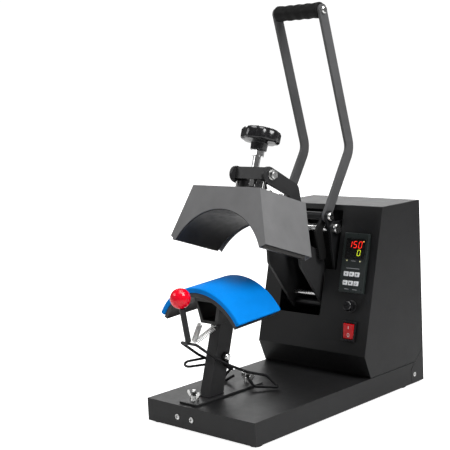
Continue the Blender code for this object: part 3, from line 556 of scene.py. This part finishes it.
# ---------------------------------------------------------------- CAD nodes with a finer finish
# look, edge radius in millimetres, smoothing angle, CAD nodes
FINISHES = (
    ("powder", 1.5, SHEET, ("base_tray", "tower_cover")),
    ("powder", 0.0, SHEET, ("rear_panel",)),
    ("powder_arm", 0.5, SHEET, ("arm_left", "arm_right", "trunnion_block", "float_bracket")),
    ("powder_arm", 0.6, SHEET, ("platen_post", "post_foot_plate")),
    ("grey", 0.55, SHEET, ("upper_housing",)),
    ("bar", 0.5, SHEET, ("handle_bar_left", "handle_bar_right")),
    ("black", 0.5, SHEET, ("frame_plate_left", "frame_plate_right")),
    ("black", 0.5, SHEET, ("crank_plate_left", "crank_plate_right")),
    ("link", 0.4, SHEET, ("toggle_link_left", "toggle_link_right")),
    ("link", 0.4, SHEET, ("clamp_lug_left", "clamp_lug_right")),
    ("black", 0.3, SHEET, ("crank_sleeve", "clamp_lever_rod")),
    ("heater", 0.7, CAST, ("heater_platen",)),
    ("cast", 0.7, CAST, ("lower_platen",)),
    ("cast", 0.8, CAST, ("platen_hub",)),
    ("black", 0.3, SHAFT, ("arm_pivot_shaft",)),
    ("zinc", 0.3, SHAFT, ("handle_pivot_shaft", "toggle_shaft", "crank_shaft", "grip_bolt")),
    ("zinc", 0.3, SHAFT, ("trunnion_bolt_left", "trunnion_bolt_right", "clamp_pivot_bolt")),
    ("chrome", 0.3, SHAFT, ("pressure_screw",)),
    ("zinc", 0.5, WING, ("wing_nut_front", "wing_nut_rear")),
    ("plastic", 0.4, SHEET, ("power_gland", "switch_bezel", "fuse_holder")),
    ("face", 0.5, SHEET, ("controller_case",)),
    ("switch", 0.6, SHEET, ("switch_rocker",)),
    ("key", 0.3, KEYCAP, tuple(f"key_{number}" for number in KEYS)),
    ("foot", 0.3, SHEET, ("foot_front_left", "foot_rear_left")),
    ("foot", 0.3, SHEET, ("foot_front_right", "foot_rear_right")),
)
# CAD nodes shown with their own mesh and a better material
BARE = {"heater_insulation": "board", "clamp_ball": "red", "clamp_wire": "black"}


def dress_cad():
    for look, bevel, smooth, nodes in FINISHES:
        for node in nodes:
            soften(node, look, bevel, smooth)
    for node, look in BARE.items():
        materials = frame["nodes"][node].data.materials
        materials.clear()
        materials.append(LOOK[look])


# ---------------------------------------------------------------- padded platen, grip and knob
def make_pad():
    pad = soften("lower_pad", "pad", 2.2, CAST)
    pad.modifiers["edges"].segments = PAD_SEGMENTS


def make_grip():
    """A moulded rubber grip with shallow finger scallops and a rolled lip at each end."""
    low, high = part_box("handle_grip")
    length = (high.x - low.x) / MM
    radius = (high.z - low.z) / MM / 2
    scallops, steps, depth, rim, bore = 4, 8, 0.9, 7.0, 4.6
    pitch = (length - 2 * rim) / scallops
    lip = [(radius - 1.6, 0.0), (radius - 0.4, 0.5), (radius, 1.6), (radius, 5.0)]
    profile = list(lip)
    for index in range(scallops):
        for step in range(steps + 1):
            turn = step / steps
            dip = depth * sin(pi * turn) ** 2
            profile.append((radius - 0.2 - dip, rim + pitch * (index + turn)))
    profile += [(reach, length - along) for reach, along in reversed(lip)]
    rising = [after for before, after in zip(profile, profile[1:]) if after[1] > before[1] + 0.01]
    start = press_point("handle_grip") - ACROSS * length / 2
    mesh = inner_tube(profile[:1] + rising, bore, start, (1, 0, 0), 48)
    grip = add_piece("handle_grip_finished", mesh, "rubber", BODY_OF["handle_grip"])
    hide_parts("handle_grip")


def make_knob():
    """The lobed hand knob with a moulded ring and a raised cap on top."""
    soften("pressure_knob", "knob", 0.9, CAST)
    top = KNOB_TOP
    profile = [(17.0, top - 0.4), (17.0, top + 0.5), (16.2, top + 0.9)]
    ring = inner_tube(profile, 14.6, (0, 0, 0), (0, 0, 1), 40)
    add_piece("knob_ring", ring, "knob", "pressure_screw", HEAD)
    cap = turned([(8.6, top - 0.3), (8.6, top + 1.0), (7.4, top + 1.5)])
    add_piece("knob_cap", cap, "plastic", "pressure_screw", HEAD)


# ---------------------------------------------------------------- fixings
FRONT_SCREWS_X, FRONT_SCREWS_Z = (-46.0, -16.3), 19.5
SIDE_SCREW_Y, SIDE_SCREW_Z = 398.3, 17.3
SUNK = 0.1  # how far a screw's head starts inside the sheet
REAR_SCREW_INSET = 7.0
SHADE_SHEET_INSET, SHADE_SHEET_THICKNESS = 6.0, 0.9
RIB_HEIGHTS = (80.0, 150.0, 220.0)
POST_DEPTH = 31.6
BEAD_RADIUS, BEAD_RIPPLE, BEAD_STEP = 1.1, 0.2, 2.2
STUD_REACH = 4.0
TIE_PIN_Y, TIE_PIN_Z, TIE_PIN_RADIUS = 303.0, 158.0, 3.7


def screw_shape(origin, direction, radius, height):
    """A pan head; the painted shade of its cross recess is another piece."""
    dome = [(radius, 0.1), (radius * 0.98, height * 0.45)]
    dome += [(radius * 0.8, height * 0.8), (radius * 0.42, height)]
    return turned(dome, origin, direction, 24)


def cross_recess_shade(origin, direction, radius, height):
    """Two near-black bars of painted shade for a cross recess, laid into the top of a screw's head.
    """
    axis, side, other = square_to(direction, (0.0, 0.0, 1.0), (1.0, 0.0, 0.0))
    bars = []
    for first, second in ((side, other), (other, side)):
        long, short = first * radius * 0.58, second * radius * 0.13
        rings = []
        for reach in (height - 0.25, height + 0.12):
            centre = Vector(origin) + axis * reach
            corners = (-long - short, long - short, long + short, -long + short)
            rings.append([centre + corner for corner in corners])
        bars.append(loft(rings))
    return merge(*bars)


def add_screws(name, places, look, radius, height):
    heads = merge(*[screw_shape(origin, lead, radius, height) for origin, lead in places])
    add_piece(f"{name}_heads", heads, look, "base")
    # painted shade: near-black bars stand for the dark inside of each cross recess
    marks = merge(*[cross_recess_shade(origin, lead, radius, height) for origin, lead in places])
    add_piece(f"{name}_recess_shade", marks, "window", "base")


def make_base_screws():
    front = [((x, -SUNK, FRONT_SCREWS_Z), (0, -1, 0)) for x in FRONT_SCREWS_X]
    add_screws("base_front_screw", front, "screw", 4.3, 1.7)
    side = []
    for sign in (-1.0, 1.0):
        side.append(((sign * (TRAY_HALF - SUNK), SIDE_SCREW_Y, SIDE_SCREW_Z), (sign, 0, 0)))
    add_screws("base_side_screw", side, "screw", 3.6, 0.3)


def make_rear_screws():
    """Pan heads down both sides of the rear panel."""
    low, high = press_box("rear_panel")
    sides = (low.x + REAR_SCREW_INSET, high.x - REAR_SCREW_INSET)
    heights = (low.z + 30.0, (low.z + high.z) / 2, high.z - REAR_SCREW_INSET)
    places = [((x, high.y + 0.05, z), (0, 1, 0)) for x in sides for z in heights]
    add_screws("rear_panel_screw", places, "zinc", 3.0, 1.6)


def make_vent_shade_sheet():
    """A dark sheet behind the rear panel's vents, with ribs: painted shade that stands for the dark
    inside of the tower.
    """
    low, high = press_box("rear_panel")
    left, right = low.x + SHADE_SHEET_INSET, high.x - SHADE_SHEET_INSET
    bottom, top = low.z + 42.0, high.z - 8.0
    front = SHADE_SHEET_BACK - SHADE_SHEET_THICKNESS
    # painted shade: the dark sheet fills the vents with the dark of the tower's inside
    sheet = [(left, bottom), (right, bottom), (right, top), (left, top)]
    shells = [upright(sheet, SHADE_SHEET_BACK, front)]
    for height in RIB_HEIGHTS:
        rib = rectangle(((left + right) / 2, low.z + height), right - left - 2 * SHADE_SHEET_INSET, 1.6)
        shells.append(upright(rib, front - 0.01, front - 0.8))
    add_piece("vent_shade_sheet", merge(*shells), "foot", "base")


def make_corner_shade_strips():
    """Dark strips of painted shade inside the rear corners, behind the slanted seam of the base and
    the cover.
    """
    back = (TRAY_HIGH.y - ORIGIN.y) / MM
    outline = [(back - 46.0, 20.0), (back - 4.0, 20.0), (back - 4.0, 64.0)]
    outline += [(back - 30.0, 64.0), (back - 46.0, 44.0)]
    strips = []
    for sign in (-1.0, 1.0):
        faces = [sign * (TRAY_HALF - depth) for depth in (2.9, 2.1)]
        strips.append(loft([[(x, y, z) for y, z in outline] for x in faces]))
    # painted shade: dark strips stand for the shade inside the seam
    add_piece("corner_shade_strips", merge(*strips), "foot", "base")


def make_stud_caps():
    """The base's welded studs show bright above the wing nuts."""
    source = frame["nodes"]["base_tray"]
    into = PRESS.inverted() @ source.matrix_world
    spots = [into @ vert.co / MM for vert in source.data.vertices]
    for end in ("front", "rear"):
        nut = press_point(f"wing_nut_{end}")
        near = [
            spot.z for spot in spots
            if abs(spot.x - nut.x) < STUD_REACH and abs(spot.y - nut.y) < STUD_REACH
        ]
        crest = max(near)
        cap = [(3.2, crest - 2.6), (3.2, crest - 0.2), (2.4, crest + 0.3)]
        add_piece(f"stud_cap_{end}", turned(cap, (nut.x, nut.y, 0.0)), "screw", "base")


def bead_points(start, end, outward, steps):
    """Points along a weld bead that ripples a little to both sides."""
    start, end, outward = Vector(start), Vector(end), Vector(outward)
    points = []
    for step in range(steps + 1):
        ripple = outward * BEAD_RIPPLE * sin(step * BEAD_STEP)
        points.append(start + (end - start) * (step / steps) + ripple)
    return points


def make_weld():
    """Rippled weld beads on two sides of the post, where it meets its foot plate."""
    low, high = press_box("platen_post")
    z = press_box("post_foot_plate")[1].z + 0.9
    front, back = low.y, low.y + POST_DEPTH
    bead = bead_points((low.x, front + 0.1, z), (high.x, front + 0.1, z), (0, 1, 0), 32)
    add_wire("weld_front", bead, BEAD_RADIUS, "black", "base")
    bead = bead_points((high.x + 0.3, front, z), (high.x + 0.3, back, z), (1, 0, 0), 44)
    add_wire("weld_side", bead, BEAD_RADIUS, "black", "base")


def hex_bolt(origin, direction, across, height):
    """A hexagon head on a washer."""
    corner = across * 0.577
    washer = turned([(across * 0.72, 0.05), (across * 0.72, 1.0)], origin, direction, 28)
    body = [(corner, 1.02, hexagon), (corner, height - 0.6, hexagon), (across * 0.5, height)]
    return merge(washer, turned(body, origin, direction, 24))


def make_head_fixings():
    """Hex bolts, guide rods and a spring strap with studs on the housing's flat top."""
    top = HOUSING_TOP
    bolts = []
    for x in (-47.0, 47.0):
        for y in (-12.0, 14.0):
            bolts.append(hex_bolt((x, y, top), (0, 0, 1), 10.0, 6.0))
    add_piece("housing_bolts", merge(*bolts), "zinc", "heated_head", HEAD, 0.3)
    strap_y = 33.0
    strap = prism(soft_rectangle((0.0, strap_y), 62.0, 8.0, 3.0), top + 0.1, top + 2.0)
    add_piece("housing_strap", strap, "zinc", "heated_head", HEAD, 0.4)
    rod = [(2.1, top + 0.1), (2.1, -12.6), (1.6, -12.2)]
    rods = [turned(rod, (x, -5.0, 0.0)) for x in (-28.5, 28.5)]
    add_piece("housing_rods", merge(*rods), "zinc", "heated_head", HEAD)
    stud = [(2.6, top + 2.0), (2.6, top + 6.5), (2.0, top + 7.2)]
    studs = [turned(stud, (x, strap_y, 0.0)) for x in (-25.0, 25.0)]
    add_piece("strap_studs", merge(*studs), "zinc", "heated_head", HEAD)


def make_arm_fixings():
    """A thin bright tie pin joins the two arms just above their pivot."""
    reach = PRESS_X - press_box("arm_left")[1].x - 0.05
    profile = [(TIE_PIN_RADIUS, -reach), (TIE_PIN_RADIUS, reach)]
    pin = turned(profile, (PRESS_X, TIE_PIN_Y, TIE_PIN_Z), (1, 0, 0), 28)
    add_piece("arm_tie_pin", pin, "zinc", "arms")


def helix(start, end, radius, wire_turns, steps=14, lead=3.0):
    """Points of a coil spring with a straight lead at each end."""
    start, end = Vector(start), Vector(end)
    axis = (end - start).normalized()
    side = axis.orthogonal().normalized()
    other = axis.cross(side)
    coiled = (end - start).length - 2 * lead
    points = [start]
    total = int(wire_turns * steps)
    for index in range(total + 1):
        turn = 2 * pi * index / steps
        reach = lead + coiled * index / total
        points.append(start + axis * reach + (side * cos(turn) + other * sin(turn)) * radius)
    points.append(end)
    return points


def make_clamp_details():
    """The two tension springs as coils, and the hook at the end of the clamp wire."""
    for side in ("left", "right"):
        node = f"clamp_spring_{side}"
        low, high = press_box(node)
        if side == "right":
            first, last = low.x + 1.6, high.x - 2.2
        else:
            first, last = high.x - 1.6, low.x + 2.2
        start = (first, low.y + 1.0, low.z + 1.0)
        end = (last, high.y - 1.0, high.z - 1.0)
        coil = add_wire(f"{node}_coil", helix(start, end, 3.7, 13), 0.85, "screw", BODY_OF[node])
        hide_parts(node)
    hook = [(-44.0, 84.0, 95.0), (-56.0, 42.0, 95.2), (-57.5, 37.5, 94.8), (-58.9, 34.4, 93.0)]
    hook += [(-59.2, 33.4, 90.6), (-58.6, 35.0, 88.2), (-57.2, 38.4, 86.6), (-56.0, 42.0, 86.1)]
    hook += [(-44.0, 84.0, 84.0)]
    add_wire("clamp_hook", hook, 2.0, "black", "cap_clamp")


# ---------------------------------------------------------------- controller face
SEGMENTS = {"0": "abcdef", "1": "bc", "5": "acdfg"}
DIGIT_LEAN = 0.12
# x and width of the printed lines, with their place along the controller
LEGENDS = ((-13.6, 6.4, 5.0), (12.2, 6.4, 5.0), (-1.0, 3.0, 9.0), (0.0, -9.0, 26.0))
WINDOW_X, WINDOW_ALONG = 0.2, 22.5
MARK_LOW, MARK_HIGH = 0.02, 0.12  # a printed mark's height over the face under it


def digit_shape(glyph, centre, width, height, low, high):
    """Seven-segment numeral, each bar a thin pointed plate."""
    u, v = centre
    w, h, t = width / 2, height / 2, width * 0.085
    ends = {
        "a": ((-w, h), (w, h)),
        "b": ((w, h), (w, 0)),
        "c": ((w, 0), (w, -h)),
        "d": ((-w, -h), (w, -h)),
        "e": ((-w, 0), (-w, -h)),
        "f": ((-w, h), (-w, 0)),
        "g": ((-w, 0), (w, 0)),
    }
    bars = []
    for name in SEGMENTS[glyph]:
        first, second = Vector(ends[name][0]), Vector(ends[name][1])
        along = (second - first).normalized()
        across = Vector((-along.y, along.x)) * t
        first, second = first + along * t * 0.5, second - along * t * 0.5
        outline = [first, first + along * t + across, second - along * t + across]
        outline += [second, second - along * t - across, first + along * t - across]
        outline = [(u + point.x + DIGIT_LEAN * point.y, v + point.y) for point in outline]
        bars.append(prism(outline, low, high))
    return merge(*bars)


def panel_point(x, along):
    """A spot on the controller, from millimetres off its middle."""
    return (CONTROLLER_MIDDLE.x + x, CONTROLLER_MIDDLE.y + along)


def make_display():
    """The dark window with its border, a generic reading, a timer digit and a unit lamp."""
    top = FACE_HEIGHT
    spot = panel_point(WINDOW_X, WINDOW_ALONG)
    window = prism(soft_rectangle(spot, 37.5, 33.0, 2.0), top + 0.05, top + 0.5)
    add_piece("display_window", window, "window", "base", PANEL, 0.15)
    outer = soft_rectangle(spot, 40.0, 35.6, 2.6)
    inner = soft_rectangle(spot, 39.0, 34.6, 2.2)
    border = flat_ring(outer, inner, top + 0.02, top + 0.25)
    add_piece("display_border", border, "face", "base", PANEL)
    low, high = top + 0.52, top + 0.75
    shapes = []
    for glyph, x in (("1", -10.4), ("5", -0.6), ("0", 9.4)):
        shapes.append(digit_shape(glyph, panel_point(x + WINDOW_X, 29.4), 5.8, 10.0, low, high))
    add_piece("reading_digits", merge(*shapes), "digit_red", "base", PANEL)
    timer = digit_shape("0", panel_point(8.2, 16.6), 5.4, 9.0, low, high)
    add_piece("timer_digit", timer, "digit_green", "base", PANEL)
    mark = prism(soft_rectangle(panel_point(15.6, 35.0), 2.2, 1.6, 0.5), low, high)
    add_piece("unit_lamp", mark, "lamp_top", "base", PANEL)


def make_controller_face():
    """The display, two status lamps, printed lines without text and the keys' signs."""
    make_display()
    top = FACE_HEIGHT
    dome = [(1.0, top), (1.0, top + 0.4), (0.6, top + 0.8)]
    lamps = [turned(dome, (*panel_point(x, 3.0), 0.0)) for x in (-13.6, 12.2)]
    add_piece("status_lamps", merge(*lamps), "lamp", "base", PANEL)
    lines = [soft_rectangle(panel_point(x, along), w, 0.8, 0.3, 2) for x, along, w in LEGENDS]
    lines += [soft_rectangle(panel_point(x, -42.5), 9.0, 0.9, 0.3, 2) for x in (-8, 8)]
    legends = [prism(line, top + MARK_LOW, top + MARK_HIGH) for line in lines]
    add_piece("face_legends", merge(*legends), "mark_pale", "base", PANEL)
    for number in KEYS:
        key = centre_in(f"key_{number}", PANEL)
        sign = key_sign(number, key.x, key.y)
        add_piece(f"key_{number}_mark", sign, "mark", f"key_{number}", PANEL)


def key_sign(number, u, v):
    """A small printed sign: arrow up, arrow down, plus, minus, block or ring."""
    low, high = KEY_HEIGHT + MARK_LOW, KEY_HEIGHT + MARK_HIGH
    half, bar = 1.9, rectangle((u, v), 4.0, 0.9)
    if number == 1:
        return prism([(u - half, v - half / 2), (u + half, v - half / 2), (u, v + half)], low, high)
    if number == 2:
        return prism([(u, v - half), (u + half, v + half / 2), (u - half, v + half / 2)], low, high)
    if number == 3:
        post = rectangle((u, v), 0.9, 3.6)
        return merge(prism(bar, low, high), prism(post, low, high + 0.01))
    if number == 4:
        return prism(bar, low, high)
    if number == 5:
        return prism(soft_rectangle((u, v), 3.4, 2.6, 0.6), low, high)
    return flat_ring(circle((u, v), 1.8, 20), circle((u, v), 1.1, 20), low, high)


# ---------------------------------------------------------------- switch and fuse
def on_slope(x, first, second):
    """A frame on the middle of a slope between two (along, height) points of the panel."""
    slant = atan2(second[1] - first[1], second[0] - first[0])
    centre = Vector((x, (first[0] + second[0]) / 2, (first[1] + second[1]) / 2))
    return PANEL @ Matrix.Translation(centre * MM) @ Matrix.Rotation(slant, 4, "X")


def make_rocker_marks():
    """Moulded ring and bar on the rocker, laid on its two sloping faces."""
    source = frame["nodes"]["switch_rocker"]
    into = PANEL.inverted() @ source.matrix_world
    spots = [into @ vert.co / MM for vert in source.data.vertices]
    low, high = min(spot.y for spot in spots), max(spot.y for spot in spots)
    centre_x = (min(spot.x for spot in spots) + max(spot.x for spot in spots)) / 2
    lower_end = max(spot.z for spot in spots if spot.y < low + 1.0)
    ridge = [spot for spot in spots if low + 8.0 < spot.y < high - 6.0]
    crown = (ridge[0].y, max(spot.z for spot in ridge))
    crest = max(spots, key=lambda spot: spot.z)
    face_low, face_high = 0.02, 0.14
    outer, inner = [[(a, b * 1.3) for a, b in circle((0, 0), reach, 24)] for reach in (2.4, 1.7)]
    ring = flat_ring(outer, inner, face_low, face_high)
    lower = on_slope(centre_x, (low, lower_end), crown)
    add_piece("rocker_ring", ring, "key", "power_rocker", lower)
    bar = prism(rectangle((0.0, 0.0), 1.0, 5.0), face_low, face_high)
    upper = on_slope(centre_x, crown, (crest.y, crest.z))
    add_piece("rocker_bar", bar, "key", "power_rocker", upper)


def make_fuse_cap():
    """The fuse holder's cap with gripping ribs, and a near-black plate of painted shade on its top
    for the screwdriver slot.
    """
    soften("fuse_cap", "knob", 0.5, CAST)
    top = FUSE_TOP
    # painted shade: a near-black plate on the cap's top stands for the dark inside of its slot
    slot = prism(soft_rectangle((0.0, 0.0), 8.6, 1.5, 0.5), top - 0.35, top + 0.06)
    add_piece("fuse_cap_slot_shade", slot, "window", BODY_OF["fuse_cap"], PANEL)
    rib = [(0.5, top - 9.0), (0.5, top - 1.6)]
    ribs = [turned(rib, (*spot, 0.0), steps=8) for spot in circle((0.0, 0.0), 8.0, 16)]
    add_piece("fuse_cap_ribs", merge(*ribs), "knob", BODY_OF["fuse_cap"], PANEL)


dress_cad()
make_pad()
make_grip()
make_knob()
make_base_screws()
make_rear_screws()
make_vent_shade_sheet()
make_corner_shade_strips()
make_stud_caps()
make_weld()
make_head_fixings()
make_arm_fixings()
make_clamp_details()
make_controller_face()
make_rocker_marks()
make_fuse_cap()


# ---------------------------------------------------------------- stage
FLOOR_HALF = 3.2  # metres
# how bright the floor and the backdrop are to the camera, and to every other ray
FLOOR_SEEN, FLOOR_GLOW = 0.9, 0.05
BACKDROP_SEEN, BACKDROP_GLOW = 1.05, 0.14

# name, place, aim, width and height in metres, watts
SOFTBOXES = (
    ("softbox_left", (-1.5, -1.5, 1.5), (0.0, 0.0, 0.25), 1.0, 1.0, 13.0),
    ("softbox_right", (1.7, 0.0, 1.9), (0.0, 0.0, 0.3), 1.0, 1.0, 46.0),
    ("softbox_top", (0.1, 0.0, 2.3), (0.0, 0.0, 0.2), 1.3, 1.3, 26.0),
    ("softbox_back", (-2.4, 2.6, 1.5), (0.0, 0.1, 0.3), 2.6, 1.0, 30.0),
)

# solved from the photograph's vanishing points: degrees, press millimetres, lens millimetres
CAMERA_AZIMUTH, CAMERA_ELEVATION, CAMERA_ROLL = 43.82, 7.46, -2.78
CAMERA_PLACE = Vector((1117.5, -1089.1, 515.0))
SENSOR, LENS = 36.0, 87.32


def make_floor():
    floor = bmesh.new()
    bmesh.ops.create_grid(floor, x_segments=1, y_segments=1, size=FLOOR_HALF)
    data = bpy.data.meshes.new("floor")
    floor.to_mesh(data)
    floor.free()
    item = bpy.data.objects.new("floor", data)
    bpy.context.scene.collection.objects.link(item)
    paint = Paint("floor_pale", (0.86, 0.86, 0.86), 0.9)
    paint.tint(paint.noise(0.8, 1.0), (0.855, 0.855, 0.855), (0.865, 0.865, 0.865))
    paint.set("Emission Color", (1.0, 1.0, 1.0, 1.0))
    sight = paint.nodes.new("ShaderNodeLightPath").outputs["Is Camera Ray"]
    glow = paint.remap(sight, 0.0, 1.0, FLOOR_GLOW, FLOOR_SEEN)
    paint.links.new(glow, paint.shader.inputs["Emission Strength"])
    paint.set("Specular IOR Level", 0.1)
    data.materials.append(paint.material)


def make_backdrop():
    world = bpy.data.worlds.new("studio")
    world.use_nodes = True
    tree = world.node_tree
    back = tree.nodes["Background"]
    back.inputs["Color"].default_value = (1.0, 1.0, 1.0, 1.0)
    seen = tree.nodes.new("ShaderNodeLightPath").outputs["Is Camera Ray"]
    level = tree.nodes.new("ShaderNodeMapRange")
    level.inputs["To Min"].default_value = BACKDROP_GLOW
    level.inputs["To Max"].default_value = BACKDROP_SEEN
    tree.links.new(seen, level.inputs["Value"])
    tree.links.new(level.outputs["Result"], back.inputs["Strength"])
    bpy.context.scene.world = world
    bpy.context.scene.view_settings.view_transform = "Standard"


def add_light(name, where, target, width, height, power):
    light = bpy.data.lights.new(name, "AREA")
    light.shape = "RECTANGLE"
    light.size = width
    light.size_y = height
    light.energy = power
    item = bpy.data.objects.new(name, light)
    item.location = where
    aim = Vector(target) - Vector(where)
    item.rotation_mode = "QUATERNION"
    item.rotation_quaternion = aim.to_track_quat("-Z", "Y")
    bpy.context.scene.collection.objects.link(item)


def make_camera():
    azimuth, elevation = radians(CAMERA_AZIMUTH), radians(CAMERA_ELEVATION)
    roll = radians(CAMERA_ROLL)
    ahead = Vector((-sin(azimuth), cos(azimuth), 0.0))
    forward = ahead * cos(elevation) - Vector((0.0, 0.0, sin(elevation)))
    right = Vector((cos(azimuth), sin(azimuth), 0.0))
    up = right.cross(forward)
    level_right = right * cos(roll) + up * sin(roll)
    level_up = up * cos(roll) - right * sin(roll)
    camera = bpy.data.cameras.new("camera")
    camera.sensor_width = SENSOR
    camera.lens = LENS
    item = bpy.data.objects.new("camera", camera)
    item.matrix_world = axes(PRESS @ (CAMERA_PLACE * MM), level_right, level_up, -forward)
    bpy.context.scene.collection.objects.link(item)
    bpy.context.scene.camera = item


make_floor()
make_backdrop()
for softbox in SOFTBOXES:
    add_light(*softbox)
make_camera()
